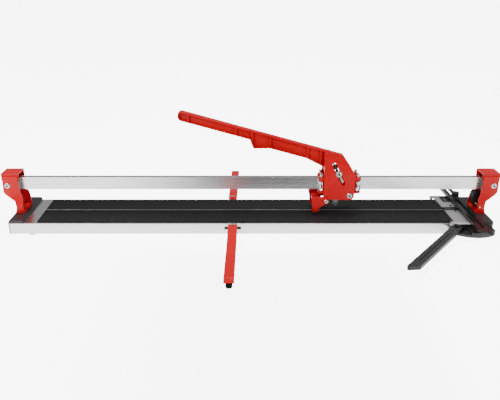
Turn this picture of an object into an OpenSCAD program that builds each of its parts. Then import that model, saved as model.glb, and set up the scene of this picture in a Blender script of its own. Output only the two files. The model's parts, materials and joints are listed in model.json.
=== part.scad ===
/* [Base] */
// Length of the aluminium base between its end caps
base_len = 1408; // [1380:2:1500]
// Width of the base profile
base_w = 198; // [180:2:220]
// Height of the deck above the ground
deck_z = 37; // [34:1:44]
// Height of the base skirt's lower edge above the ground
skirt_z = 5; // [3:0.5:8]
// Wall thickness of the base profile
base_wall = 2.4; // [2:0.2:3]
// Usable length of the rubber pads
pad_len = 1220; // [1190:5:1225]
// Distance that the pads' centre sits left of the base centre
pad_shift = 16; // [12:1:18]
// Width of the bare strip between a pad and the base edge
pad_margin = 10; // [6:1:14]
// Thickness of the rubber pads
pad_t = 3; // [2:0.5:4]
// Width of the breaking ridge
ridge_w = 3; // [2:0.5:4]
// Height of the breaking ridge above the pads
ridge_rise = 1.5; // [1:0.25:2]

/* [Guide rail] */
// Width of the rail
rail_w = 16; // [14:1:20]
// Depth of the rail
rail_h = 38; // [34:1:42]
// Height of the rail's underside above the ground
rail_z = 111; // [108:1:116]
// Wall thickness of the rail tube
rail_wall = 2; // [1.5:0.25:3]

/* [End caps and towers] */
// Length of an end cap along the rail
cap_len = 43; // [38:1:50]
// Height of an end cap above the deck
cap_rise = 9; // [8:0.5:12]
// Thickness of an end cap's outer plate
cap_plate = 3; // [2:0.5:4]
// Thickness of the tower sheet
sheet_t = 4; // [3:0.5:5]
// Half the spread of a tower's legs at its floor
leg_y = 41; // [38:1:44]
// Half the spread of a tower's legs at its head
head_y = 31; // [28:1:34]
// Distance that a tower's head overhangs the end cap
head_over = 31; // [26:1:36]
// Height of a tower's head above the rail's top
head_rise = 17; // [14:1:20]

/* [Carriage] */
// Distance between the roller axles
axle_gap = 107; // [103:1:114]
// Radius of a guide roller
roller_r = 9.8; // [8.5:0.1:11]
// Height of a guide roller
roller_h = 31; // [27:1:33]
// Radius of a roller axle
axle_r = 3; // [2.5:0.25:3.5]
// Distance from the centre of the base to the carriage at rest
carriage_x = 265; // [200:0.5:300]
// Thickness of a carriage cheek
cheek_t = 6; // [5:0.5:8]
// Radius of the scoring wheel
wheel_r = 7; // [6:0.5:8]

/* [Handle] */
// Length of the handle from its pivot to its tip
handle_len = 560; // [480:5:640]
// Slope of the handle at rest
handle_tilt = 15.5; // [12:0.5:18]
// Width of the handle's grip
handle_w = 24; // [20:1:28]
// Thickness of the handle's web
web_t = 8; // [6:1:12]

/* [Support arms] */
// Reach of a support arm from its pivot
support_len = 300; // [240:5:340]
// Width of a support arm
support_w = 27; // [22:1:32]
// Thickness of a support arm
support_t = 12; // [10:1:14]
// Distance that the support arms sit left of the base centre
support_x = 53; // [30:1:90]
// Angle that the support arms lean from square
support_lean = 1.7; // [0:0.1:4]

/* [Side arm and fence] */
// Reach of the side arm from its pivot
side_len = 325; // [260:5:340]
// Width of the side arm
side_w = 29; // [24:1:32]
// Thickness of the side arm
side_t = 11; // [9:1:13]
// Direction of the side arm at rest
side_dir = -128; // [-140:1:-110]
// Length of the fence
fence_len = 404; // [340:5:420]
// Width of the fence
fence_w = 37; // [34:1:40]
// Thickness of the fence
fence_t = 5; // [4:0.5:6]

/* [Hidden] */
$fn = 48;

// Running clearance between a pin and the hole that turns on it
run_gap = 0.05;
// Gap between faces that move past each other
face_gap = 0.5;
// Overlap of a cutting shape past the face that it cuts
cut = 1;

pad_z = deck_z + pad_t;
base_half = base_len / 2;
base_edge = base_w / 2;
pad_right = pad_len / 2 - pad_shift;
pad_left = -pad_len / 2 - pad_shift;
cap_z = deck_z + cap_rise;
cap_in = base_half - cap_len + cap_plate;
tower_in = cap_in + 14;
tower_floor_z = cap_z + sheet_t;
rail_top = rail_z + rail_h;
rail_mid = rail_z + rail_h / 2;
head_z = rail_top + head_rise;
head_out = base_half + head_over;
rail_half = head_out - 6;
block_in = tower_in + 12;
cross_x = head_out - 14;
cross_r = 4;
screw_r = 2.5;
cap_screw_y = base_edge / 2;
cap_screw_z = skirt_z + 12;
floor_screw_x = tower_in + 13;
floor_screw_y = leg_y - 10;
foot_r = 10;
foot_inset = 14;

roller_y = rail_w / 2 + roller_r + 0.2;
roller_z = rail_z + 0.5;
frame_half_y = roller_y + roller_r - 0.3;
frame_bottom = rail_z - 7;
frame_top = rail_top + 8;
lug_top = rail_top + 4;
cheek_y = roller_y + roller_r + 0.7;
cheek_out = cheek_y + cheek_t;
axle_left = carriage_x - axle_gap / 2;
axle_right = carriage_x + axle_gap / 2;
lug_r = roller_r + 1;
pivot_x = axle_right - 24.5;
pivot_z = rail_z - 11;
pivot_r = 5;
breaker_x = axle_left + 14;
breaker_z = pivot_z - 16.5;
breaker_r = 3;
wheel_x = pivot_x - 35;
wheel_z = pad_z + 13.6 + wheel_r;
holder_t = 8;
adjust_x = pivot_x - 35;
adjust_z = pivot_z + 67;
adjust_dir = 116;
adjust_r = 4;
adjust_slot = 12;
wheel_axle_r = 1.5;

stop_x = pad_right - 3;
stop_len = 50;
stop_inner_front = 12;
stop_inner_rear = 15;
stop_screw_x = stop_x + 30;
stop_screw_front = -20;
stop_screw_rear = 24;
stop_z = pad_z + 5;
window_x = stop_x + 17;
window_y = 56;
window_w = 27;
window_len = 48;
window_t = 3;
fence_in = stop_x + stop_len - 10;
fence_x = fence_in + fence_w / 2;
fence_z = cap_z + 0.3;
fence_front = -204;
fence_nose = 30;
slot_w = 8;
tongue_w = slot_w - 2 * face_gap;
knob_y = 82;
knob_r = 12;
knob_stem_r = 2;
knob_x = fence_x + tongue_w / 2;
side_x = pad_right + 3;
side_y = -base_edge - 15;
side_z = deck_z - 14;
wing_z = side_z - 9;
lever_x = tower_in + 7;
lever_z = cap_z + 19;
lever_pin_r = 3;
arm_pin_r = 4;
support_y = base_edge + 16;
support_top = deck_z + 2;
joggle = 10;

grip_depth = 27;
beam_depth = 37;
crown = [-20, 117];
along = [-cos(handle_tilt), sin(handle_tilt)];
below = [-sin(handle_tilt), -cos(handle_tilt)];
grip_end = handle_len - 67;
stop_at = grip_end - 213;
yoke_z = 72;

// A solid of revolution along Y, centred on y = 0
module y_pin(r, half) {
  rotate([90, 0, 0]) cylinder(r = r, h = 2 * half, center = true);
}

// A hexagon-headed bolt standing along +Z with its head's seat at z = 0
module bolt_down(r, len, head_r, head_h) {
  translate([0, 0, -len]) cylinder(r = r, h = len + 0.01);
  cylinder(r = head_r, h = head_h, $fn = 6);
}

// Copies the children at both signs of Y
module both_y() {
  children();
  mirror([0, 1, 0]) children();
}

// Copies the children at both signs of X
module both_x() {
  children();
  mirror([1, 0, 0]) children();
}

module base_profile() color("silver") {
  lip = 2 * foot_inset;
  difference() {
    translate([-base_half, -base_edge, skirt_z]) cube([base_len, base_w, deck_z - skirt_z]);
    translate([-base_half - cut, -base_edge + base_wall, skirt_z + base_wall])
      cube([base_len + 2 * cut, base_w - 2 * base_wall, deck_z - skirt_z - 2 * base_wall]);
    translate([-base_half - cut, -base_edge + lip, skirt_z - cut])
      cube([base_len + 2 * cut, base_w - 2 * lip, base_wall + 2 * cut]);
  }
  both_y() translate([-base_half, base_edge / 3, skirt_z + 8])
    cube([base_len, base_wall, deck_z - skirt_z - 8 - base_wall / 2]);
}

module breaking_ridge() color("gray")
  translate([pad_left, -ridge_w / 2, deck_z]) cube([pad_len, ridge_w, pad_t + ridge_rise]);

module half_pad()
  translate([pad_left, ridge_w / 2, deck_z]) cube([pad_len, base_edge - pad_margin - ridge_w / 2, pad_t]);

module front_pad() color("black") mirror([0, 1, 0]) half_pad();
module rear_pad() color("black") half_pad();

module rubber_feet() color("black")
  both_x() both_y() translate([base_half - 60, base_edge - foot_inset, 0])
    cylinder(r = foot_r, h = skirt_z);

// End cap on the +X end, with a bevelled inner edge and an outer plate
module end_cap_right() {
  difference() {
    union() {
      rotate([90, 0, 0]) linear_extrude(base_w, center = true)
        polygon([[cap_in, deck_z], [cap_in, cap_z - 5], [cap_in + 4, cap_z],
                 [base_half + cap_plate - 2, cap_z], [base_half + cap_plate, cap_z - 3],
                 [base_half + cap_plate, deck_z]]);
      translate([base_half, -base_edge, skirt_z]) cube([cap_plate, base_w, deck_z - skirt_z + cut]);
    }
    both_y() translate([base_half - cut, cap_screw_y, cap_screw_z])
      rotate([0, 90, 0]) cylinder(r = screw_r + run_gap, h = cap_plate + 2 * cut);
    for (y = [-floor_screw_y, 0, floor_screw_y]) translate([floor_screw_x, y, deck_z - cut])
      cylinder(r = screw_r + run_gap, h = cap_rise + 2 * cut);
  }
}

module left_end_cap() color("dimgray") mirror([1, 0, 0]) end_cap_right();
module right_end_cap() color("dimgray") end_cap_right();

module end_cap_screws() color("dimgray")
  both_x() both_y() translate([base_half + cap_plate, cap_screw_y, cap_screw_z])
    rotate([0, 90, 0]) bolt_down(screw_r, cap_plate, 5, 3);

// Bent sheet in the YZ plane: floor, splayed legs and upright heads
module tower_sheet() {
  bend_low = cap_z + 26;
  bend_high = rail_z - 9;
  top = rail_top + 9;
  difference() {
    polygon([[-leg_y, cap_z], [-leg_y, bend_low], [-head_y, bend_high], [-head_y, top],
             [head_y, top], [head_y, bend_high], [leg_y, bend_low], [leg_y, cap_z]]);
    polygon([[sheet_t - leg_y, tower_floor_z], [sheet_t - leg_y, bend_low],
             [sheet_t - head_y, bend_high], [sheet_t - head_y, top + cut],
             [head_y - sheet_t, top + cut], [head_y - sheet_t, bend_high],
             [leg_y - sheet_t, bend_low], [leg_y - sheet_t, tower_floor_z]]);
  }
}

// Side outline of a tower: narrow at the floor, reaching outwards at the head
module tower_outline()
  polygon([[tower_in, cap_z], [tower_in + 3, rail_z - 22], [tower_in + 8, rail_z - 9],
           [tower_in + 11, rail_top + 9], [head_out, rail_top + 9], [head_out, rail_z - 1],
           [head_out - 2, rail_z - 6], [head_out - 7, rail_z - 11], [head_out - 20, rail_z - 20],
           [head_out - 32, rail_z - 28], [tower_in + 22.5, cap_z + 30], [tower_in + 21, cap_z + 20],
           [tower_in + 22, cap_z + 10], [tower_in + 25, cap_z]]);

// Web that closes the tower's outer side, between its legs
module tower_web()
  rotate([90, 0, 0]) linear_extrude(2 * (leg_y - sheet_t + 1), center = true)
    polygon([[tower_in + 22, cap_z], [tower_in + 19, cap_z + 10], [tower_in + 18.5, cap_z + 20],
             [tower_in + 19.5, cap_z + 30], [head_out - 34, rail_z - 25], [head_out - 22, rail_z - 17],
             [head_out - 9, rail_z - 9.5], [head_out - 7, rail_z - 11],
             [head_out - 20, rail_z - 20], [head_out - 32, rail_z - 28],
             [tower_in + 22.5, cap_z + 30], [tower_in + 21, cap_z + 20], [tower_in + 22, cap_z + 10],
             [tower_in + 25, cap_z]]);

module tower_right() {
  difference() {
    union() {
      intersection() {
        rotate([90, 0, 90]) linear_extrude(head_out + cut) tower_sheet();
        rotate([90, 0, 0]) linear_extrude(2 * leg_y + 2, center = true) tower_outline();
      }
      intersection() {
        tower_web();
        rotate([90, 0, 90]) linear_extrude(head_out + cut) polygon([[-leg_y, cap_z],
          [-leg_y, cap_z + 26], [-head_y, rail_z - 9], [head_y, rail_z - 9], [leg_y, cap_z + 26],
          [leg_y, cap_z]]);
      }
    }
    translate([cross_x, 0, rail_mid]) y_pin(cross_r + run_gap, leg_y);
    for (y = [-floor_screw_y, 0, floor_screw_y]) translate([floor_screw_x, y, cap_z - cut])
      cylinder(r = screw_r + run_gap, h = sheet_t + 2 * cut);
  }
}

module left_tower() color("red") mirror([1, 0, 0]) tower_right();
module right_tower() color("red") difference() {
  tower_right();
  translate([lever_x, 0, lever_z]) y_pin(lever_pin_r + run_gap, leg_y + cut);
}

// Folded lid over the rail's end, between the two heads
module tower_cap_right() {
  lid_y = head_y - sheet_t - 0.1;
  lid_t = 3;
  difference() {
    translate([block_in - 4, -lid_y, rail_top - 5])
      cube([head_out - block_in + 7, 2 * lid_y, head_z - rail_top + 5]);
    translate([block_in - 4 - cut, lid_t - lid_y, rail_top - 5 - cut])
      cube([head_out - block_in + 7 + 2 * cut, 2 * (lid_y - lid_t), head_z - rail_top + 5 - lid_t + cut]);
  }
}

module left_tower_cap() color("red") mirror([1, 0, 0]) tower_cap_right();
module right_tower_cap() color("red") tower_cap_right();

module tower_floor_screws() color("silver")
  both_x() for (y = [-floor_screw_y, 0, floor_screw_y]) translate([floor_screw_x, y, tower_floor_z])
    bolt_down(screw_r, sheet_t + cap_rise, 5, 3);

module rail() color("silver") difference() {
  translate([-rail_half, -rail_w / 2, rail_z]) cube([2 * rail_half, rail_w, rail_h]);
  translate([-rail_half - cut, rail_wall - rail_w / 2, rail_z + rail_wall])
    cube([2 * (rail_half + cut), rail_w - 2 * rail_wall, rail_h - 2 * rail_wall]);
  both_x() translate([cross_x, 0, rail_mid]) y_pin(cross_r + run_gap, rail_w);
}

// Spacer blocks that grip the rail inside a tower's head
module rail_blocks_right() {
  block_y = head_y - sheet_t - 3.2;
  difference() {
    both_y() translate([block_in, rail_w / 2, rail_z + 1])
      cube([head_out - 2 - block_in, block_y - rail_w / 2, rail_h - 2]);
    translate([cross_x, 0, rail_mid]) y_pin(cross_r + run_gap, leg_y);
  }
}

module left_rail_blocks() color("dimgray") mirror([1, 0, 0]) rail_blocks_right();
module right_rail_blocks() color("dimgray") rail_blocks_right();

module rail_cross_bolts() color("silver")
  both_x() translate([cross_x, 0, rail_mid]) {
    y_pin(cross_r, head_y + 1);
    both_y() translate([0, head_y + 2, 0]) rotate([90, 0, 0]) cylinder(r = 8, h = 2);
    both_y() translate([0, head_y + 1.5, 0]) rotate([-90, 0, 0]) cylinder(r = 5, h = 3, $fn = 6);
  }

// Plate over the pads' end, with a tongue that sits on the deck
module stop_plate(inner, outer) {
  translate([stop_x, inner, pad_z + 0.2]) cube([stop_len, outer - inner, stop_z - pad_z - 0.2]);
  translate([pad_right + 1, inner, deck_z])
    cube([stop_x + stop_len - pad_right - 1, base_edge - 2 - inner, pad_t + 1]);
  translate([stop_x - 10, base_edge + 0.5, deck_z - 2])
    cube([8, outer - base_edge - 0.5, stop_z - deck_z + 2]);
  translate([stop_x - 10, base_edge + 0.5, pad_z + 0.2])
    cube([14, outer - base_edge - 0.5, stop_z - pad_z - 0.2]);
}

module front_stop_plate() color("lightgray") mirror([0, 1, 0]) difference() {
  stop_plate(stop_inner_front, base_edge + 12);
  translate([stop_screw_x, -stop_screw_front, deck_z - cut]) cylinder(r = screw_r + run_gap, h = 12);
}

module rear_stop_plate() color("lightgray") difference() {
  stop_plate(stop_inner_rear, base_edge + 12);
  translate([window_x, window_y, stop_z - window_t]) cube([window_w, window_len, window_t + cut]);
  translate([stop_screw_x, stop_screw_rear, deck_z - cut]) cylinder(r = screw_r + run_gap, h = 12);
}

// Framed scale window let into the rear stop plate
module scale_window() color("black") translate([window_x, window_y, stop_z - window_t])
  difference() {
    cube([window_w, window_len, window_t]);
    translate([4, 4, 1]) cube([window_w - 8, window_len - 8, window_t]);
  }

// Dark filler between the two stop plates
module stop_channel() color("black")
  translate([pad_right + 1, 0.5 - stop_inner_front, deck_z])
    cube([stop_len - 4, stop_inner_front + stop_inner_rear - 1, pad_t + 3]);

module stop_plate_screws() color("dimgray") {
  translate([stop_screw_x, stop_screw_front, stop_z]) bolt_down(screw_r, stop_z - deck_z, 4, 0.8);
  translate([stop_screw_x, stop_screw_rear, stop_z]) bolt_down(screw_r, stop_z - deck_z, 4, 0.8);
}

// Quadrant bracket on the base's front face, with a round outer edge
module side_wing() color("dimgray") difference() {
  union() {
    intersection() {
      translate([side_x + 50, -base_edge + 36, wing_z]) cylinder(r = 88, h = side_z - wing_z - face_gap);
      translate([side_x - 14, -base_edge - 60, 0]) cube([base_half - side_x + 12, 60, side_z]);
    }
    intersection() {
      translate([side_x + 50, -base_edge + 36, wing_z]) cylinder(r = 88, h = 16);
      translate([side_x + 32, -base_edge - 60, 0]) cube([base_half - side_x - 34, 60, deck_z]);
    }
    translate([side_x + 18, -base_edge - 4, wing_z])
      cube([base_half - side_x - 20, 4, pad_z - wing_z - 0.5]);
  }
  translate([side_x, side_y, 0]) cylinder(r = arm_pin_r + run_gap, h = deck_z);
}

module side_arm() color("dimgray") translate([side_x, side_y, side_z]) rotate([0, 0, side_dir]) {
  groove = 2;
  difference() {
    union() {
      cylinder(r = side_w / 2, h = side_t);
      linear_extrude(side_t) polygon([[0, -side_w / 2], [side_len - 5, -side_w / 2],
        [side_len, 6 - side_w / 2], [side_len - 22, side_w / 2], [0, side_w / 2]]);
    }
    translate([0, 0, -cut]) cylinder(r = arm_pin_r + run_gap, h = side_t + 2 * cut);
    translate([30, -1.5, side_t - groove]) cube([side_len - 80, 3, groove + cut]);
  }
}

module side_arm_bolt() color("dimgray") translate([side_x, side_y, side_z + side_t + 0.1]) {
  bolt_down(arm_pin_r, side_t + side_z - wing_z, 7, 5);
}

// Slotted bar that lies across the base and slides along its slot
module fence_bar() color("dimgray") difference() {
  union() {
    translate([fence_in, fence_front, fence_z]) linear_extrude(fence_t)
      polygon([[0, fence_nose], [0, fence_len], [fence_w, fence_len], [fence_w, 4], [fence_w - 6, 0]]);
    translate([fence_in, fence_front + fence_nose, fence_z])
      cube([2.5, fence_len - fence_nose, fence_t + 4]);
  }
  translate([fence_x - face_gap, fence_front + fence_nose + 12, fence_z - cut])
    cube([slot_w, fence_len - fence_nose - 26, fence_t + 2 * cut]);
}

module fence_guide() color("black") {
  difference() {
    union() {
      translate([stop_x + stop_len + 1, knob_y - 15, deck_z])
        cube([cap_in - stop_x - stop_len - 2, 30, fence_z - deck_z - 0.1]);
      translate([fence_x, knob_y - 15, deck_z]) cube([tongue_w, 30, fence_z + fence_t - deck_z]);
    }
    translate([knob_x, knob_y, deck_z + 1]) cylinder(r = knob_stem_r + run_gap, h = 40);
  }
}

module fence_knob() color("black") translate([knob_x, knob_y, 0]) {
  bottom = fence_z + fence_t + 4.6;
  difference() {
    translate([0, 0, bottom]) cylinder(r = knob_r, h = 13);
    for (i = [0:11]) rotate([0, 0, i * 30]) translate([knob_r + 1, 0, bottom - cut])
      cylinder(r = 2, h = 15, $fn = 24);
  }
  translate([0, 0, deck_z + 3]) cylinder(r = knob_stem_r, h = bottom - deck_z - 2);
  translate([0, 0, fence_z + fence_t + 0.3]) cylinder(r = 6, h = 5);
}

module lock_lever() color("black") translate([lever_x, 0, lever_z]) difference() {
  rotate([90, 0, 0]) linear_extrude(20, center = true)
    polygon([[-6, -9], [7, -8], [10, 2], [11, 26], [8, 38], [-8, 40], [-15, 34], [-12, 6]]);
  y_pin(lever_pin_r + run_gap, 12);
}

module lock_lever_pin() color("goldenrod") translate([lever_x, 0, lever_z]) {
  y_pin(lever_pin_r, leg_y);
  both_y() translate([0, 12, 0]) rotate([90, 0, 0]) cylinder(r = 5, h = 2, center = true);
}

// Support arm pointing along -Y from its pivot, drawn at rest
module place_front_support() translate([-support_x, -support_y, 0]) rotate([0, 0, -support_lean]) children();
module place_rear_support() rotate([0, 0, 180]) translate([support_x, -support_y, 0])
  rotate([0, 0, -support_lean]) children();

module support_bracket() {
  gap_z = support_top - support_t - face_gap;
  difference() {
    union() {
      translate([-24.5, support_y - base_edge - 4, gap_z - 6]) cube([49, 4, 6]);
      translate([-support_w / 2, 0, gap_z - 6]) cube([support_w, support_y - base_edge - 1, 6]);
      translate([0, 0, gap_z - 6]) cylinder(r = support_w / 2, h = 6);
    }
    translate([0, 0, gap_z - 7]) cylinder(r = arm_pin_r + run_gap, h = 8);
  }
}

module front_arm_bracket() color("black") translate([-support_x, -support_y, 0]) support_bracket();
module rear_arm_bracket() color("black")
  rotate([0, 0, 180]) translate([support_x, -support_y, 0]) support_bracket();

module support_arm() {
  knee = 52;
  ramp = 50;
  low = support_top - joggle;
  difference() {
    union() {
      rotate([90, 0, -90]) linear_extrude(support_w, center = true)
        polygon([[0, support_top - support_t], [knee - 2, support_top - support_t],
                 [knee + ramp, low - support_t], [support_len + 6, low - support_t],
                 [support_len + 12, low - 9], [support_len, low], [knee + ramp + 2, low],
                 [knee, support_top], [0, support_top]]);
      translate([0, 0, support_top - support_t]) cylinder(r = support_w / 2, h = support_t);
    }
    translate([0, 0, support_top - support_t - cut])
      cylinder(r = arm_pin_r + run_gap, h = support_t + 2 * cut);
  }
}

module support_foot() translate([0, -support_len + 6, 0])
  cylinder(r = 9, h = support_top - joggle - support_t);

module support_bolt() translate([0, 0, support_top + 0.1])
  bolt_down(arm_pin_r, support_t + face_gap + 6, 6.5, 4);

module front_support_arm() color("red") place_front_support() support_arm();
module rear_support_arm() color("red") place_rear_support() support_arm();
module front_arm_foot() color("black") place_front_support() support_foot();
module rear_arm_foot() color("black") place_rear_support() support_foot();
module front_arm_bolt() color("silver") place_front_support() support_bolt();
module rear_arm_bolt() color("silver") place_rear_support() support_bolt();

module carriage_frame() color("red") {
  lug_low = roller_z - face_gap;
  lug_high = roller_z + roller_h + face_gap;
  core = axle_gap / 2 - lug_r - 1;
  difference() {
    union() {
      translate([carriage_x - core, -frame_half_y, frame_bottom])
        cube([2 * core, 2 * frame_half_y, frame_top - frame_bottom]);
      for (x = [axle_left, axle_right]) both_y() {
        translate([x, roller_y, frame_bottom]) cylinder(r = lug_r - 1.4, h = lug_low - frame_bottom);
        translate([x, roller_y, lug_high]) cylinder(r = lug_r - 1.4, h = lug_top - lug_high);
      }
      translate([axle_left, -frame_half_y, frame_bottom])
        cube([axle_gap, 2 * frame_half_y, lug_low - frame_bottom]);
      translate([axle_left, -frame_half_y, lug_high])
        cube([axle_gap, 2 * frame_half_y, lug_top - lug_high]);
      translate([pivot_x - 10, -frame_half_y, pivot_z - 9]) cube([20, 2 * frame_half_y, 14]);
    }
    translate([axle_left - 20, -rail_w / 2 - 1, rail_z - 1.5])
      cube([axle_gap + 40, rail_w + 2, rail_h + 3.5]);
    for (x = [axle_left, axle_right]) both_y() {
      translate([x, roller_y, frame_bottom - cut])
        cylinder(r = axle_r + run_gap, h = frame_top - frame_bottom + 2 * cut);
      translate([x, roller_y, lug_low]) cylinder(r = lug_r + 0.5, h = lug_high - lug_low);
    }
    translate([pivot_x, 0, pivot_z]) y_pin(pivot_r + run_gap, frame_half_y + cut);
  }
}

module roller_axles() color("silver")
  for (x = [axle_left, axle_right]) both_y() translate([x, roller_y, lug_top])
    bolt_down(axle_r, lug_top - frame_bottom + 2, 5.5, 11);

module guide_roller(x, side) translate([x, side * roller_y, roller_z]) difference() {
  cylinder(r = roller_r, h = roller_h);
  translate([0, 0, -cut]) cylinder(r = axle_r + run_gap, h = roller_h + 2 * cut);
}

module front_left_roller() color("silver") guide_roller(axle_left, -1);
module front_right_roller() color("silver") guide_roller(axle_right, -1);
module rear_left_roller() color("silver") guide_roller(axle_left, 1);
module rear_right_roller() color("silver") guide_roller(axle_right, 1);

// Side outline of the handle's grip and beam, from its pivot
module grip_outline() polygon([crown, crown + grip_end * along,
  crown + (grip_end + 8) * along + 8 * below, crown + (grip_end + 6) * along + 20 * below,
  crown + (grip_end - 2) * along + grip_depth * below,
  crown + stop_at * along + grip_depth * below, crown + (stop_at - 17) * along + 50 * below,
  crown + (stop_at - 65) * along + beam_depth * below, crown + 104 * along + beam_depth * below,
  [-79, 83], [-77, yoke_z], [5, yoke_z]]);

module cheek_outline() {
  polygon([crown, [-77, 133], [-77, -12], [0, -14], [14, -4], [15, 52], [10, yoke_z]]);
  circle(r = 14);
  translate([breaker_x - pivot_x, breaker_z - pivot_z]) circle(r = 8);
}

// Cross-section of the yoke that joins the two cheeks, with sloping shoulders; Y runs up
module yoke_section()
  polygon([[-cheek_out, yoke_z], [cheek_out, yoke_z], [cheek_out, yoke_z + 10],
           [handle_w / 2, yoke_z + 44], [handle_w / 2, 140], [-handle_w / 2, 140],
           [-handle_w / 2, yoke_z + 44], [-cheek_out, yoke_z + 10]]);

module handle() color("red") translate([pivot_x, 0, pivot_z]) rotate([90, 0, 0]) difference() {
  union() {
    linear_extrude(web_t, center = true) grip_outline();
    linear_extrude(handle_w, center = true) difference() {
      grip_outline();
      offset(delta = -4) grip_outline();
    }
    for (s = [70, 110, 225, stop_at, stop_at + 50, grip_end - 20])
      linear_extrude(handle_w - 2, center = true) intersection() {
        grip_outline();
        translate(crown + s * along + [-2, -80]) square([4, 100]);
      }
    intersection() {
      linear_extrude(2 * cheek_out, center = true) cheek_outline();
      rotate([0, 90, 0]) linear_extrude(200, center = true) yoke_section();
    }
    for (side = [-1, 1]) translate([0, 0, side * (cheek_y + cheek_out) / 2])
      linear_extrude(cheek_t, center = true) intersection() {
        cheek_outline();
        translate([-100, -40]) square([150, yoke_z + 42]);
      }
    translate([-60, -13, -cheek_y - cut]) cube([46, 6, 2 * (cheek_y + cut)]);
  }
  cylinder(r = pivot_r + run_gap, h = 100, center = true);
  translate([breaker_x - pivot_x, breaker_z - pivot_z, 0])
    cylinder(r = breaker_r + run_gap, h = 100, center = true);
  translate([adjust_x - pivot_x, adjust_z - pivot_z, 0]) rotate([0, 0, adjust_dir]) {
    translate([-33, -adjust_slot / 2, -50]) cube([61, adjust_slot, 100]);
    translate([28, 0, 0]) cylinder(r = adjust_slot / 2, h = 100, center = true);
    translate([-33, 0, 0]) cylinder(r = adjust_slot / 2, h = 100, center = true);
  }
}

module handle_pivot_bolt() color("silver") translate([pivot_x, 0, pivot_z]) {
  y_pin(pivot_r, cheek_out + 1);
  both_y() translate([0, cheek_out + 3, 0]) rotate([90, 0, 0]) cylinder(r = 8, h = 4, center = true);
}

module adjuster_bolt() color("silver") translate([adjust_x, 0, adjust_z]) {
  y_pin(adjust_r, cheek_out + 1);
  both_y() translate([0, cheek_out + 1.5, 0]) rotate([90, 0, 0]) cylinder(r = 9, h = 2, center = true);
  both_y() translate([0, cheek_out + 2, 0]) rotate([-90, 0, 0]) cylinder(r = 6, h = 4, $fn = 6);
}

module wheel_holder() color("gray") difference() {
  rotate([90, 0, 0]) linear_extrude(holder_t, center = true)
    polygon([[wheel_x - 25, pivot_z - 13], [wheel_x - 25, pivot_z - 17], [wheel_x - 11, pivot_z - 21],
             [wheel_x - 3, wheel_z - 5], [wheel_x + 3, wheel_z - 5], [wheel_x + 11, pivot_z - 21],
             [wheel_x + 18, pivot_z - 17], [wheel_x + 18, pivot_z - 13]]);
  translate([wheel_x, 0, wheel_z]) y_pin(wheel_r + 1.5, 1.8);
  translate([wheel_x, 0, wheel_z]) y_pin(wheel_axle_r + run_gap, holder_t);
}

module wheel_holder_screws() color("silver")
  for (dx = [-21, 14]) both_y() translate([wheel_x + dx, holder_t / 2, pivot_z - 15])
    rotate([-90, 0, 0]) cylinder(r = 1.8, h = 3);

module wheel_axle() color("silver") translate([wheel_x, 0, wheel_z]) y_pin(wheel_axle_r, holder_t / 2 + 1);

module scoring_wheel() color("silver") translate([wheel_x, 0, wheel_z]) rotate([90, 0, 0])
  rotate_extrude() polygon([[wheel_axle_r + run_gap, -1.4], [wheel_r - 1.5, -1.4], [wheel_r, 0],
                            [wheel_r - 1.5, 1.4], [wheel_axle_r + run_gap, 1.4]]);

module breaker_foot() color("red") translate([breaker_x, 0, breaker_z]) {
  wing_y = cheek_out + face_gap;
  difference() {
    union() {
      both_y() translate([0, wing_y, 0]) rotate([90, 0, 0]) mirror([0, 0, 1]) linear_extrude(5)
        union() {
          polygon([[-46, 10], [-39, 10], [-27, 12], [-6, 14], [8, 0], [0, -8], [-20, -20],
                   [-24, -33], [-40, -33], [-42, -8]]);
          circle(r = 8);
        }
      translate([-38, -wing_y - 1, -10]) cube([26, 2 * wing_y + 2, 10]);
    }
    y_pin(breaker_r + run_gap, cheek_out + 10);
  }
}

module breaker_foot_bolt() color("silver") translate([breaker_x, 0, breaker_z]) {
  y_pin(breaker_r, cheek_out + 7);
  both_y() translate([0, cheek_out + 7.5, 0]) rotate([90, 0, 0]) cylinder(r = 6, h = 3, center = true);
}

base_profile();
breaking_ridge();
front_pad();
rear_pad();
rubber_feet();
left_end_cap();
right_end_cap();
end_cap_screws();
left_tower();
right_tower();
left_tower_cap();
right_tower_cap();
tower_floor_screws();
rail();
left_rail_blocks();
right_rail_blocks();
rail_cross_bolts();
front_stop_plate();
rear_stop_plate();
scale_window();
stop_channel();
stop_plate_screws();
side_wing();
side_arm();
side_arm_bolt();
fence_bar();
fence_guide();
fence_knob();
lock_lever();
lock_lever_pin();
front_arm_bracket();
front_support_arm();
front_arm_foot();
front_arm_bolt();
rear_arm_bracket();
rear_support_arm();
rear_arm_foot();
rear_arm_bolt();
carriage_frame();
roller_axles();
front_left_roller();
front_right_roller();
rear_left_roller();
rear_right_roller();
handle();
handle_pivot_bolt();
adjuster_bolt();
wheel_holder();
wheel_holder_screws();
wheel_axle();
scoring_wheel();
breaker_foot();
breaker_foot_bolt();
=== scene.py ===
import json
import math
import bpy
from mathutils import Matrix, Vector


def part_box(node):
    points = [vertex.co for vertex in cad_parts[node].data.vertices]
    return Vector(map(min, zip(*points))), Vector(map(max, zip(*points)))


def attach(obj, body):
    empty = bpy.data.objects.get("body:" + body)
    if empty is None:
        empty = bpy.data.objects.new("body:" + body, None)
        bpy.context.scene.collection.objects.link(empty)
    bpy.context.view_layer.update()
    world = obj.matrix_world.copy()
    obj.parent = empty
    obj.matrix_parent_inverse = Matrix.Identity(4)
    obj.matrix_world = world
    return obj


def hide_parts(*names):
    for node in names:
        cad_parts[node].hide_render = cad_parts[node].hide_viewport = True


bl_info = {
    "name": "Tile cutter looks",
    "version": (1, 0, 0),
    "blender": (4, 5, 0),
    "location": "View3D > Sidebar > Tile cutter",
    "description": "Dresses the packed tile cutter with rounded shells, turned parts and worked finishes",
    "category": "Object",
}

import bmesh
import bpy
import numpy as np
from bpy.props import FloatProperty, FloatVectorProperty, IntProperty, PointerProperty

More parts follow.
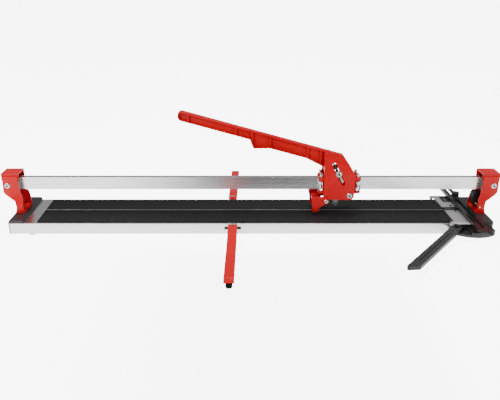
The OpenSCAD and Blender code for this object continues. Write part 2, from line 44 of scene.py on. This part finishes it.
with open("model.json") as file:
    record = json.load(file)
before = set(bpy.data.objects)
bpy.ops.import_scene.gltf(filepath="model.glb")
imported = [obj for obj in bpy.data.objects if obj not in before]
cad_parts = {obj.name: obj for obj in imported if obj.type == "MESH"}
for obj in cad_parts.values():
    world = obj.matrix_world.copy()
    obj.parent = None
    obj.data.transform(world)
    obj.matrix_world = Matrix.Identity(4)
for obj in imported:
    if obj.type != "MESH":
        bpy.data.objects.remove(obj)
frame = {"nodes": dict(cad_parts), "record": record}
NODES = frame["nodes"]
BODIES = {node: body for body, nodes in frame["record"]["behaviour"]["bodies"].items()
          for node in nodes}
SLOTS = {row["node"]: row["material_slot"] for row in frame["record"]["subparts"]}
MM = 0.001


# ---------------------------------------------------------------- shader maths


class Tap:
    """An output socket of a material's nodes; arithmetic on it adds Math nodes."""

    def __init__(self, finish, socket):
        self.finish = finish
        self.socket = socket

    def _math(self, operation, *values):
        return self.finish.add("ShaderNodeMath", {"operation": operation}, *values)

    def __add__(self, other):
        return self._math("ADD", self, other)

    def __sub__(self, other):
        return self._math("SUBTRACT", self, other)

    def __rsub__(self, other):
        return self._math("SUBTRACT", other, self)

    def __mul__(self, other):
        return self._math("MULTIPLY", self, other)

    __radd__ = __add__
    __rmul__ = __mul__

    def bend(self, low, high):
        """0 below low and 1 above high, with a smooth rise between them."""
        return self.finish.add(
            "ShaderNodeMapRange", {"interpolation_type": "SMOOTHSTEP"}, self, low, high, 0.0, 1.0)


class Finish:
    """A material that is built from node calls, with one Principled shader."""

    def __init__(self, name, colour, roughness, **constants):
        self.material = bpy.data.materials.new(name)
        self.material.use_nodes = True
        self.tree = self.material.node_tree
        self.shader = self.tree.nodes["Principled BSDF"]
        self.set("Base Color", (*colour, 1.0))
        self.set("Roughness", roughness)
        for socket, value in constants.items():
            self.set(socket.replace("_", " "), value)
        self.place = self.add("ShaderNodeTexCoord", {}, out="Object")

    def set(self, socket, value):
        if isinstance(value, Tap):
            self.tree.links.new(value.socket, self.shader.inputs[socket])
        else:
            self.shader.inputs[socket].default_value = value

    def add(self, kind, settings, *values, out=0, **named):
        """Adds one node: its settings first, then its sockets by place or by name."""
        node = self.tree.nodes.new(kind)
        for key, value in settings.items():
            setattr(node, key, value)
        spaced = [(key.replace("_", " "), value) for key, value in named.items()]
        for key, value in list(enumerate(values)) + spaced:
            if isinstance(value, Tap):
                self.tree.links.new(value.socket, node.inputs[key])
            else:
                node.inputs[key].default_value = value
        return Tap(self, node.outputs[out])

    def stretched(self, scale):
        return self.add("ShaderNodeMapping", {}, Vector=self.place, Scale=scale)

    def noise(self, scale, detail=2.0, stretch=(1.0, 1.0, 1.0)):
        return self.add("ShaderNodeTexNoise", {}, out="Fac", Vector=self.stretched(stretch),
                        Scale=scale, Detail=detail, Roughness=0.55)

    def mix(self, amount, first, second):
        """first where amount is 0, second where it is 1."""
        node = self.tree.nodes.new("ShaderNodeMix")
        node.data_type = "RGBA"
        for key, value in ((0, amount), (6, first), (7, second)):
            if isinstance(value, Tap):
                self.tree.links.new(value.socket, node.inputs[key])
            else:
                node.inputs[key].default_value = value if key == 0 else (*value, 1.0)
        return Tap(self, node.outputs[2])

    def axis(self, vector, name):
        """One coordinate of a vector."""
        return self.add("ShaderNodeSeparateXYZ", {}, vector, out=name)

    def bump(self, height, strength, distance):
        self.set("Normal", self.add("ShaderNodeBump", {}, out="Normal", Strength=strength,
                                    Distance=distance, Height=height))


# ---------------------------------------------------------------- finishes


def red_paint(name, colour, roughness):
    """Gloss paint: faint orange peel, and slightly duller and darker in patches."""
    f = Finish(name, colour, roughness, Coat_Weight=0.05, Coat_Roughness=0.08, Specular_IOR_Level=0.2)
    patches = f.noise(9.0, 3.0)
    f.set("Base Color", f.mix(patches.bend(0.35, 0.7), colour, tuple(c * 0.86 for c in colour)))
    f.set("Roughness", roughness + patches * 0.08)
    f.bump(f.noise(900.0, 1.0), 0.06, 0.0004)
    return f.material


def brushed_metal(name, colour, roughness, stretch):
    """Metal with fine drawing lines: noise pulled long along one axis, in roughness and bump."""
    f = Finish(name, colour, roughness, Metallic=1.0)
    lines = f.noise(60.0, 4.0, stretch)
    f.set("Base Color", f.mix(lines.bend(0.3, 0.7), tuple(c * 0.93 for c in colour), colour))
    f.set("Roughness", roughness - 0.06 + lines * 0.14)
    f.bump(lines, 0.08, 0.0002)
    return f.material


def plated_steel(name, colour, roughness):
    """Bright plating with faint clouding."""
    f = Finish(name, colour, roughness, Metallic=1.0)
    cloud = f.noise(160.0, 3.0)
    f.set("Roughness", roughness - 0.03 + cloud * 0.06)
    f.set("Base Color", f.mix(cloud, tuple(c * 0.92 for c in colour), colour))
    return f.material


def moulded_plastic(name, colour, roughness, grain=1400.0):
    """Moulded plastic: a fine grain in the bump and slightly paler scuffs in patches."""
    f = Finish(name, colour, roughness)
    fine = f.noise(grain, 2.0)
    scuff = f.noise(30.0, 4.0).bend(0.55, 0.75)
    f.set("Base Color", f.mix(scuff * 0.35, colour, tuple(min(1.0, c * 1.6) for c in colour)))
    f.set("Roughness", roughness - 0.05 + fine * 0.12)
    f.bump(fine, 0.18, 0.0003)
    return f.material


def pad_rubber(name, colour, roughness):
    """Matt rubber with a fine stipple and faint dusty bands along its length."""
    f = Finish(name, colour, roughness, Specular_IOR_Level=0.22)
    stipple = f.add("ShaderNodeTexVoronoi", {}, out="Distance", Vector=f.place, Scale=900.0)
    dust = f.noise(14.0, 4.0, (0.15, 1.0, 1.0)).bend(0.45, 0.8)
    f.set("Base Color", f.mix(dust * 0.5, colour, tuple(c * 1.6 + 0.002 for c in colour)))
    f.set("Roughness", roughness + dust * 0.08)
    f.bump(stipple, 0.25, 0.0004)
    return f.material


def make_finishes(tones):
    """One material for each slot of the record, and the few that only new pieces use."""
    red, grey, metal = tuple(tones.red), tuple(tones.grey), tuple(tones.metal)
    long_lines, flat_lines = (0.02, 8.0, 8.0), (0.6, 12.0, 12.0)
    return {
        "aluminium": brushed_metal("drawn_aluminium", metal, 0.25, long_lines),
        "ridge_metal": brushed_metal("ridge_aluminium", tuple(c * 0.45 for c in metal), 0.4,
                                     long_lines),
        "pad_rubber": pad_rubber("pad_rubber", (0.006, 0.006, 0.006), 0.6),
        "foot_rubber": pad_rubber("foot_rubber", (0.028, 0.028, 0.028), 0.7),
        "red_sheet": red_paint("red_powder_coat", red, 0.28),
        "red_casting": red_paint("red_cast_paint", red, 0.34),
        "grey_plastic": moulded_plastic("grey_plastic", grey, 0.42),
        "fence_paint": red_paint("fence_gloss", (0.014, 0.014, 0.015), 0.2),
        "black_plastic": moulded_plastic("black_plastic", (0.012, 0.012, 0.012), 0.34),
        "plate_metal": brushed_metal("plate_metal", (0.72, 0.72, 0.71), 0.42, flat_lines),
        # black_steel also colours the dark socket plugs, which are painted shade
        "black_steel": plated_steel("black_steel", (0.03, 0.03, 0.03), 0.4),
        "zinc": plated_steel("zinc_plate", (0.74, 0.74, 0.72), 0.26),
        "roller_steel": plated_steel("roller_steel", (0.80, 0.80, 0.80), 0.16),
        "holder_steel": plated_steel("holder_steel", (0.40, 0.40, 0.41), 0.38),
        "carbide": plated_steel("wheel_carbide", (0.55, 0.55, 0.57), 0.2),
        "brass": plated_steel("brass_plate", (0.74, 0.57, 0.28), 0.3),
        "spring_steel": plated_steel("spring_steel", (0.08, 0.08, 0.08), 0.3),
    }


FINISHES = {}


# ---------------------------------------------------------------- mesh tools


def new_piece(name, verts, faces, node=None, body=None, slot=None, smooth=True):
    """A mesh object at the origin that rides its body; where node is given, it stands for that node."""
    mesh = bpy.data.meshes.new(name)
    mesh.from_pydata(np.asarray(verts, float).tolist(), [], [tuple(map(int, f)) for f in faces])
    return finish_piece(name, mesh, node, body, slot, smooth)


def finish_piece(name, mesh, node=None, body=None, slot=None, smooth=True):
    """Merges doubles, turns faces outwards, then gives the piece its finish, body and node."""
    bm = bmesh.new()
    bm.from_mesh(mesh)
    bmesh.ops.remove_doubles(bm, verts=bm.verts, dist=1e-6)
    bmesh.ops.recalc_face_normals(bm, faces=bm.faces)
    bm.to_mesh(mesh)
    bm.free()
    piece = bpy.data.objects.new(name, mesh)
    bpy.context.scene.collection.objects.link(piece)
    slot = slot or SLOTS[node]
    mesh.materials.append(FINISHES[slot])
    for polygon in mesh.polygons:
        polygon.use_smooth = smooth
    if smooth:
        mesh.set_sharp_from_angle(angle=math.radians(32))
    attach(piece, body or BODIES[node])
    if node:
        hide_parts(node)
    slot in {m["slot"] for m in frame["record"]["materials"]}
    return piece


def rounded(piece, width, segments=3):
    """Rounds the piece's sharp edges with a live Bevel, and keeps flats flat."""
    bevel = piece.modifiers.new("round_edges", "BEVEL")
    bevel.width = width
    bevel.segments = segments
    bevel.limit_method = "ANGLE"
    bevel.angle_limit = math.radians(35)
    bevel.use_clamp_overlap = True
    bevel.harden_normals = True
    return piece


def shell_of(node, width, segments=3):
    """A rounded copy of a CAD node: its triangles are merged, flats are joined, edges are rounded."""
    mesh = NODES[node].data.copy()
    mesh.name = node + "_shell"
    mesh.materials.clear()
    bm = bmesh.new()
    bm.from_mesh(mesh)
    bmesh.ops.remove_doubles(bm, verts=bm.verts, dist=1e-6)
    bmesh.ops.dissolve_limit(bm, angle_limit=math.radians(1.0), verts=bm.verts, edges=bm.edges)
    bm.to_mesh(mesh)
    bm.free()
    return rounded(finish_piece(node + "_shell", mesh, node), width, segments)


def dress(node):
    """Leaves a CAD node's shape as it is and gives it its finish."""
    target = NODES[node]
    target.data.materials.clear()
    target.data.materials.append(FINISHES[SLOTS[node]])


def turned(profile, centre, axis, around=64):
    """Closed surface of revolution: profile's (radius, height) points swept round axis through centre.
    A point is centre + height * axis + radius * (cos a * u + sin a * v), u and v square to axis."""
    profile = np.asarray(profile, float)
    axis = np.asarray(axis, float)
    u = np.cross(axis, (0.0, 0.0, 1.0) if abs(axis[2]) < 0.9 else (1.0, 0.0, 0.0))
    u /= np.linalg.norm(u)
    v = np.cross(axis, u)
    a = np.linspace(0, 2 * np.pi, around, endpoint=False)
    ring = np.cos(a)[:, None] * u + np.sin(a)[:, None] * v
    points = (np.asarray(centre) + profile[:, None, 1:2] * axis + profile[:, None, 0:1] * ring[None])
    return points.reshape(-1, 3), grid_faces(len(profile), around, wrap_v=True)


def socket_head(centre, axis, radius, tall, key=0.52, around=48):
    """Round head with a hexagonal socket: each ring's radius runs from a circle's to a hexagon's,
    where the hexagon's radius at angle a is its half width over cos(a mod 60 degrees - 30 degrees)."""
    floor = 0.45
    rings = np.array([(0.0, floor, 1), (key, floor, 1), (key, 0.98, 1), (key * 1.06, 1.0, 0.8),
                      (0.8, 1.0, 0), (0.93, 0.92, 0), (1.0, 0.72, 0), (1.0, 0.0, 0), (0.0, 0.0, 0)])
    u = np.cross(axis, (0.0, 0.0, 1.0))
    v = np.cross(axis, u)
    a = np.linspace(0, 2 * np.pi, around, endpoint=False)
    hexagon = 0.9 / np.cos(np.mod(a, np.pi / 3) - np.pi / 6)
    r = radius * rings[:, 0, None] * (1 + rings[:, 2, None] * (hexagon - 1))
    points = (np.asarray(centre) + tall * rings[:, 1, None, None] * np.asarray(axis)
              + r[..., None] * (np.cos(a)[:, None] * u + np.sin(a)[:, None] * v)[None])
    return points.reshape(-1, 3), grid_faces(len(rings), around, wrap_v=True)


def socket_shade_plug(centre, axis, radius, depth, key=0.52):
    """Six-sided dark plug that fills the bottom of a socket: painted shade in the socket's recess."""
    low, high, wide = depth * 0.4, depth * 0.52, radius * key * 1.02
    return turned([(0.0, low), (wide, low), (wide, high), (0.0, high)], centre, axis, around=6)


def slab(low, high):
    """Box between two corners."""
    pick = np.array([(i, j, k) for i in (0, 1) for j in (0, 1) for k in (0, 1)])
    points = np.where(pick == 0, np.asarray(low), np.asarray(high))
    return points, np.array([(0, 1, 3, 2), (4, 6, 7, 5), (0, 4, 5, 1), (2, 3, 7, 6), (0, 2, 6, 4),
                             (1, 5, 7, 3)])


def joined(parts):
    """Several (points, faces) meshes as one."""
    verts, faces, count = [], [], 0
    for points, quads in parts:
        verts.append(points)
        faces.append(np.asarray(quads) + count)
        count += len(points)
    return np.concatenate(verts), np.concatenate(faces)


def grid_faces(rows, columns, wrap_u=False, wrap_v=False):
    """Quads of a grid of rows by columns points, joined round on either side where asked."""
    i = np.arange(rows if wrap_u else rows - 1)
    j = np.arange(columns if wrap_v else columns - 1)
    i, j = [m.ravel() for m in np.meshgrid(i, j, indexing="ij")]
    ni, nj = (i + 1) % rows, (j + 1) % columns
    return np.stack([i * columns + j, i * columns + nj, ni * columns + nj, ni * columns + j], 1)


# ---------------------------------------------------------------- settings


class TileCutterFinishes(bpy.types.PropertyGroup):
    red: FloatVectorProperty(
        name="Red", description="Colour of the painted sheet and castings", subtype="COLOR",
        size=3, default=(0.60, 0.0, 0.004))
    grey: FloatVectorProperty(
        name="Grey plastic", description="Colour of the moulded end caps and arms", subtype="COLOR",
        size=3, default=(0.016, 0.016, 0.016))
    metal: FloatVectorProperty(
        name="Aluminium", description="Colour of the base and the rail", subtype="COLOR",
        size=3, default=(0.86, 0.86, 0.87))


class TileCutterSizes(bpy.types.PropertyGroup):
    sheet_round: FloatProperty(
        name="Sheet rounding", description="Rounding on the edges of bent sheet", unit="LENGTH",
        default=0.6 * MM)
    cast_round: FloatProperty(
        name="Casting rounding", description="Rounding on the edges of castings", unit="LENGTH",
        default=1.3 * MM)
    plastic_round: FloatProperty(
        name="Plastic rounding", description="Rounding on the edges of moulded plastic", unit="LENGTH",
        default=1.0 * MM)
    metal_round: FloatProperty(
        name="Metal rounding", description="Rounding on the edges of extrusions and bolts",
        unit="LENGTH", default=0.35 * MM)
    spring_turns: IntProperty(
        name="Spring turns", description="Turns of the adjuster's spring", default=6, min=2)
    knob_flutes: IntProperty(
        name="Knob flutes", description="Flutes round the fence knob", default=12, min=4)


def sizes():
    return bpy.context.scene.tile_cutter_sizes


class LooksOperator:
    """What the operators that make pieces share."""

    bl_options = {"REGISTER", "UNDO"}

    def soften(self, nodes, width):
        for node in nodes:
            shell_of(node, width)


# ---------------------------------------------------------------- pieces


class TILECUTTER_OT_finishes(LooksOperator, bpy.types.Operator):
    """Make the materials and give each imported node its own"""

    bl_idname = "tile_cutter.finishes"
    bl_label = "Finishes"

    def execute(self, context):
        FINISHES.update(make_finishes(context.scene.tile_cutter_finishes))
        for node in NODES:
            dress(node)
        return {"FINISHED"}


class TILECUTTER_OT_base(LooksOperator, bpy.types.Operator):
    """Round the extruded base, its pads, ridge, feet and stop plates"""

    bl_idname = "tile_cutter.base"
    bl_label = "Base and pads"

    def execute(self, context):
        self.soften(["base_profile", "breaking_ridge", "front_stop_plate", "rear_stop_plate"],
                    sizes().metal_round)
        self.soften(["front_pad", "rear_pad"], sizes().metal_round)
        self.soften(["rubber_feet", "stop_channel", "scale_window"], sizes().metal_round)
        self.scale_insert()
        return {"FINISHED"}

    def scale_insert(self):
        """Dark plate in the window, with evenly spaced pale cross lines as thin raised bars."""
        low, high = [np.array(corner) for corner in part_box("scale_window")]
        edge, floor, plate, line = 6.5 * MM, high[2] - 1.9 * MM, 0.5 * MM, 0.8 * MM
        body = BODIES["scale_window"]
        new_piece("scale_insert", *slab((low[0] + edge, low[1] + edge, floor),
                                        (high[0] - edge, high[1] - edge, floor + plate)),
                  body=body, slot="grey_plastic", smooth=False)
        spots = np.linspace(low[1] + edge + 3 * MM, high[1] - edge - 3 * MM, 9)
        bars = [slab((low[0] + edge + 2 * MM, y - line / 2, floor + line / 2),
                     (high[0] - edge - (2 if i % 4 == 0 else 6) * MM, y + line / 2, floor + line))
                for i, y in enumerate(spots)]
        new_piece("scale_lines", *joined(bars), body=body, slot="plate_metal", smooth=False)


class TILECUTTER_OT_ends(LooksOperator, bpy.types.Operator):
    """Round the end caps, the side wing and the spacer blocks"""

    bl_idname = "tile_cutter.ends"
    bl_label = "End caps"

    def execute(self, context):
        self.soften(["left_end_cap", "right_end_cap", "side_wing", "lock_lever"], sizes().plastic_round)
        self.soften(["left_rail_blocks", "right_rail_blocks", "fence_guide"], sizes().metal_round)
        return {"FINISHED"}


class TILECUTTER_OT_towers(LooksOperator, bpy.types.Operator):
    """Round the bent sheet towers and their lids"""

    bl_idname = "tile_cutter.towers"
    bl_label = "Towers"

    def execute(self, context):
        self.soften(["left_tower", "right_tower", "left_tower_cap", "right_tower_cap"],
                    sizes().sheet_round)
        return {"FINISHED"}


class TILECUTTER_OT_rail(LooksOperator, bpy.types.Operator):
    """Round the rail's long corners"""

    bl_idname = "tile_cutter.rail"
    bl_label = "Rail"

    def execute(self, context):
        self.soften(["rail"], 2 * sizes().metal_round)
        return {"FINISHED"}


class TILECUTTER_OT_arms(LooksOperator, bpy.types.Operator):
    """Round the support arms, their feet and the side arm"""

    bl_idname = "tile_cutter.arms"
    bl_label = "Arms"

    def execute(self, context):
        self.soften(["front_support_arm", "rear_support_arm"], sizes().cast_round)
        self.soften(["front_arm_foot", "rear_arm_foot", "side_arm"], sizes().plastic_round)
        self.soften(["front_arm_bracket", "rear_arm_bracket"], sizes().metal_round)
        return {"FINISHED"}


class TILECUTTER_OT_fence(LooksOperator, bpy.types.Operator):
    """Round the fence and turn its fluted knob"""

    bl_idname = "tile_cutter.fence"
    bl_label = "Fence"

    def execute(self, context):
        self.soften(["fence_bar"], sizes().sheet_round)
        self.knob()
        return {"FINISHED"}

    def knob(self):
        """The knob's radius is its profile's, less a scalloped dip that repeats in even flutes."""
        low, high = [np.array(corner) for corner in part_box("fence_knob")]
        centre, radius = (low + high) / 2, (high[0] - low[0]) / 2
        top, thick = high[2], 13 * MM
        profile = np.array([(0.0, 0.0), (0.8, 0.0), (0.96, 0.06), (1.0, 0.16), (1.0, 0.84),
                            (0.96, 0.94), (0.82, 1.0), (0.5, 0.97), (0.34, 0.93), (0.0, 0.93)])
        around = 12 * sizes().knob_flutes
        a = np.linspace(0, 2 * np.pi, around, endpoint=False)
        dip = 0.10 * np.clip(np.cos(sizes().knob_flutes * a), 0, None) ** 0.7
        grip = np.clip((profile[:, 0] - 0.6) / 0.3, 0, 1)
        r = radius * (profile[:, 0][:, None] - grip[:, None] * dip[None])
        points = np.stack([centre[0] + r * np.cos(a), centre[1] + r * np.sin(a),
                           np.repeat((top - thick + thick * profile[:, 1])[:, None], around, 1)], -1)
        new_piece("fluted_knob", points.reshape(-1, 3), grid_faces(len(profile), around, wrap_v=True),
                  node="fence_knob")
        thin, collar, under = 2 * MM, 6 * MM, top - thick
        step = under - 4.5 * MM
        stem = [(0.0, low[2]), (thin, low[2]), (thin, step), (collar, step), (collar, under), (0.0, under)]
        new_piece("knob_stem", *turned(stem, (centre[0], centre[1], 0), (0, 0, 1)), body="fence_knob",
                  slot="zinc")


class TILECUTTER_OT_carriage(LooksOperator, bpy.types.Operator):
    """Round the carriage casting and turn its four grooved rollers"""

    bl_idname = "tile_cutter.carriage"
    bl_label = "Carriage"

    def execute(self, context):
        self.soften(["carriage_frame"], sizes().cast_round)
        for node in (f"{side}_{end}_roller" for side in ("front", "rear") for end in ("left", "right")):
            low, high = [np.array(corner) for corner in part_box(node)]
            radius, tall = (high[0] - low[0]) / 2, high[2] - low[2]
            bore = 3.05 * MM
            hub, groove = radius * 0.72, radius * 0.96
            profile = [(bore, 0), (hub, 0), (hub, 0.02), (groove, 0.03), (radius, 0.06), (radius, 0.47),
                       (groove, 0.49), (groove, 0.51), (radius, 0.53), (radius, 0.94), (groove, 0.97),
                       (hub, 0.98), (hub, 1), (bore, 1)]
            profile = [(r, h * tall) for r, h in profile] + [(bore, 0)]
            centre = ((low[0] + high[0]) / 2, (low[1] + high[1]) / 2, low[2])
            new_piece("turned_" + node, *turned(profile, centre, (0, 0, 1)), node=node)
        self.axles()
        return {"FINISHED"}

    def axles(self):
        """Four pins, each with a hexagonal nut and a dome whose radius follows a quarter circle."""
        low, high = [np.array(corner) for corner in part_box("roller_axles")]
        head, tall, pin, collar, nut = 5.5 * MM, 11 * MM, 3 * MM, 4.6 * MM, 5.8 * MM
        wide, rise, start = 3.9 * MM, 4.2 * MM, 6.6 * MM
        dome = [(wide * np.cos(t), start + rise * np.sin(t)) for t in np.linspace(0, np.pi / 2, 9)]
        nuts, pins = [], []
        for x in (low[0] + head, high[0] - head):
            for y in (low[1] + head * 0.866, high[1] - head * 0.866):
                seat = np.array((x, y, high[2] - tall))
                pins.append(turned([(0, low[2] - seat[2]), (pin, low[2] - seat[2]), (pin, 1 * MM),
                                    (collar, 1 * MM), (collar, 6.4 * MM), *dome, (0, start + rise)],
                                   seat, (0, 0, 1), around=32))
                nuts.append(turned([(0, 0), (5.3 * MM, 0), (head, 0.5 * MM), (head, 5.2 * MM),
                                    (5.0 * MM, nut), (0, nut)], seat, (0, 0, 1), around=6))
        new_piece("domed_axles", *joined(pins), node="roller_axles")
        new_piece("axle_nuts", *joined(nuts), body=BODIES["roller_axles"], slot="zinc", smooth=False)


class TILECUTTER_OT_handle(LooksOperator, bpy.types.Operator):
    """Round the handle casting and the breaker foot, and wind the adjuster's spring"""

    bl_idname = "tile_cutter.handle"
    bl_label = "Handle"

    def execute(self, context):
        self.soften(["handle", "breaker_foot"], sizes().cast_round)
        self.soften(["wheel_holder"], sizes().metal_round)
        self.slot_spring()
        return {"FINISHED"}

    def slot_spring(self):
        """In each cheek's slot, a stud and a helix: a wire whose centre runs round the slot's line at the
        coil's radius while it climbs, at angle 2 pi turns t and height t along the line."""
        low, high = [np.array(corner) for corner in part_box("adjuster_bolt")]
        bolt = (low + high) / 2
        line = np.array((-0.438371, 0.0, 0.898794))
        across = np.cross(line, (0.0, 1.0, 0.0))
        depth, turns = high[1] - 8 * MM, sizes().spring_turns
        wire, coil, length, sides = 0.9 * MM, 4.0 * MM, 22 * MM, 10
        stud, stud_low, stud_high = 2.4 * MM, -28 * MM, 30 * MM
        t = np.linspace(0, 1, 26 * turns)
        a = 2 * np.pi * turns * t
        b = np.linspace(0, 2 * np.pi, sides, endpoint=False)
        coils, studs = [], []
        for side in (-1, 1):
            middle = bolt + np.array((0, side * depth, 0))
            start = middle - 29 * MM * line
            out = np.cos(a)[:, None] * np.array((0.0, 1.0, 0.0)) + np.sin(a)[:, None] * across
            centre = start + (t * length)[:, None] * line + coil * out
            ring = (np.cos(b)[None, :, None] * out[:, None] + np.sin(b)[None, :, None] * line)
            coils.append(((centre[:, None] + wire * ring).reshape(-1, 3),
                          grid_faces(len(t), sides, wrap_v=True)))
            studs.append(turned([(0, stud_low), (stud, stud_low), (stud, stud_high), (0, stud_high)],
                                middle, line, around=24))
        new_piece("slot_springs", *joined(coils), body=BODIES["handle"], slot="zinc")
        new_piece("slot_studs", *joined(studs), body=BODIES["handle"], slot="spring_steel")


class TILECUTTER_OT_bolts(LooksOperator, bpy.types.Operator):
    """Round the heads of bolts, screws and pins"""

    bl_idname = "tile_cutter.bolts"
    bl_label = "Fasteners"

    def execute(self, context):
        turned_here = ("rail_cross_bolts", "handle_pivot_bolt", "breaker_foot_bolt", "adjuster_bolt")
        self.soften([node for node in NODES if node not in turned_here
                     and node.endswith(("bolt", "bolts", "screws", "axle", "axles", "pin"))],
                    sizes().metal_round)
        for node, radius, tall, shank in zip(turned_here, (6.6, 6.6, 5.0, 6.2), (4.5, 4.0, 2.8, 4.0),
                                             (4.0, 5.0, 3.0, 4.0)):
            self.socket_bolt(node, radius * MM, tall * MM, shank * MM)
        return {"FINISHED"}

    def socket_bolt(self, node, radius, tall, shank):
        """Shank, washers and socket heads on both sides, kept inside the CAD node's own box."""
        low, high = [np.array(corner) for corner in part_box(node)]
        middle, half = (low + high) / 2, (high[1] - low[1]) / 2
        wide = (high[2] - low[2]) / 2
        spots = (low[0] + wide, high[0] - wide) if high[0] - low[0] > 0.5 else (middle[0],)
        metal, dark = [], []
        for x in spots:
            place = np.array((x, middle[1], middle[2]))
            reach = half - tall
            metal.append(turned([(0, -reach), (shank, -reach), (shank, reach), (0, reach)],
                                place, (0, 1, 0)))
            for side in (-1, 1):
                seat = place + np.array((0, side * reach, 0))
                out = (0, side, 0)
                washer = 1.4 * MM
                metal.append(turned([(0, -0.4 * MM), (wide, -0.4 * MM), (wide, washer * 0.7),
                                     (wide - 0.5 * MM, washer), (0, washer)], seat, out))
                metal.append(socket_head(seat, out, radius, tall))
                # dark plug: painted shade at the bottom of the socket
                dark.append(socket_shade_plug(seat, out, radius, tall))
        new_piece("socketed_" + node, *joined(metal), node=node)
        # the dark plugs are painted shade in the sockets
        new_piece("sockets_of_" + node, *joined(dark), body=BODIES[node], slot="black_steel",
                  smooth=False)


# ---------------------------------------------------------------- stage


class TILECUTTER_OT_stage(bpy.types.Operator):
    """Lay a pale floor, soft lights and the camera"""

    bl_idname = "tile_cutter.stage"
    bl_label = "Stage"

    def execute(self, context):
        self.floor()
        self.lights(context)
        self.camera(context)
        return {"FINISHED"}

    def floor(self):
        """White to the camera; to everything else, the strip that the rail mirrors fades to dark."""
        pale = Finish("pale_floor", (0.9, 0.9, 0.9), 0.9)
        along = pale.axis(pale.place, "X")
        dip = along.bend(-0.6, 0.0) - along.bend(0.3, 0.45) * 0.85
        far = 1.0 - pale.axis(pale.place, "Y").bend(-0.26, -0.18)
        glow = pale.mix(dip * far, (1.35, 1.35, 1.35), (0.01, 0.01, 0.01))
        pale.set("Base Color", pale.mix(dip * far, (0.9, 0.9, 0.9), (0.02, 0.02, 0.02)))
        seen = pale.add("ShaderNodeLightPath", {}, out="Is Camera Ray")
        pale.set("Emission Color", pale.mix(seen, glow, (7.0, 7.0, 7.0)))
        pale.set("Emission Strength", 1.0)
        mesh = bpy.data.meshes.new("floor")
        side = 14.0
        mesh.from_pydata([(-side, -side, 0), (side, -side, 0), (side, side, 0), (-side, side, 0)],
                         [], [(0, 1, 2, 3)])
        mesh.materials.append(pale.material)
        floor = bpy.data.objects.new("floor", mesh)
        floor.location.z = -0.5 * MM
        bpy.context.scene.collection.objects.link(floor)

    def lights(self, context):
        """A world that is bright to the camera and dim to the metal, and three area lights."""
        world = bpy.data.worlds.new("soft_white")
        world.use_nodes = True
        tree = world.node_tree
        backdrop = tree.nodes["Background"]
        backdrop.inputs["Color"].default_value = (1, 1, 1, 1)
        rays = tree.nodes.new("ShaderNodeLightPath")
        strength = tree.nodes.new("ShaderNodeMapRange")
        tree.links.new(rays.outputs["Is Camera Ray"], strength.inputs["Value"])
        strength.inputs["To Min"].default_value = 0.32
        strength.inputs["To Max"].default_value = 7.0
        tree.links.new(strength.outputs["Result"], backdrop.inputs["Strength"])
        context.scene.world = world
        for name, place, size, watts in (
                ("key", (-1.6, -1.6, 2.2), 0.8, 60.0),
                ("fill", (2.4, -2.0, 1.5), 1.2, 22.0),
                ("top", (0.2, 0.3, 3.0), 1.0, 75.0)):
            light = bpy.data.lights.new(name, "AREA")
            light.energy, light.size = watts, size
            lamp = bpy.data.objects.new(name, light)
            context.scene.collection.objects.link(lamp)
            lamp.location = place
            towards = -lamp.location.normalized()
            lamp.rotation_euler = towards.to_track_quat("-Z", "Y").to_euler()

    def camera(self, context):
        lens = bpy.data.cameras.new("camera")
        camera = bpy.data.objects.new("camera", lens)
        context.scene.collection.objects.link(camera)
        lens.sensor_width = 36.0
        lens.lens = 44.42
        lens.shift_x = 0.0312
        lens.clip_end = 60.0
        camera.location = (-0.048, -1.752, 0.749)
        camera.rotation_euler = (math.radians(68.9), 0.0, 0.0)
        context.scene.camera = camera


class TILECUTTER_PT_looks(bpy.types.Panel):
    """Lists the pieces in the 3D view's sidebar"""

    bl_label = "Tile cutter"
    bl_space_type = "VIEW_3D"
    bl_region_type = "UI"
    bl_category = "Tile cutter"

    def draw(self, context):
        for group in (context.scene.tile_cutter_finishes, context.scene.tile_cutter_sizes):
            for name in group.__annotations__:
                self.layout.prop(group, name)
        for step in STEPS:
            self.layout.operator(step.bl_idname)


STEPS = (TILECUTTER_OT_finishes, TILECUTTER_OT_base, TILECUTTER_OT_ends, TILECUTTER_OT_towers,
         TILECUTTER_OT_rail, TILECUTTER_OT_arms, TILECUTTER_OT_fence, TILECUTTER_OT_carriage,
         TILECUTTER_OT_handle, TILECUTTER_OT_bolts, TILECUTTER_OT_stage)
CLASSES = (TileCutterFinishes, TileCutterSizes, *STEPS, TILECUTTER_PT_looks)


def register():
    for cls in CLASSES:
        bpy.utils.register_class(cls)
    bpy.types.Scene.tile_cutter_finishes = PointerProperty(type=TileCutterFinishes)
    bpy.types.Scene.tile_cutter_sizes = PointerProperty(type=TileCutterSizes)


def unregister():
    del bpy.types.Scene.tile_cutter_sizes
    del bpy.types.Scene.tile_cutter_finishes
    for cls in reversed(CLASSES):
        bpy.utils.unregister_class(cls)


def main():
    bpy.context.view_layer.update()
    register()
    for step in STEPS:
        group, name = step.bl_idname.split(".")
        getattr(getattr(bpy.ops, group), name)()


if __name__ == "__main__":
    main()
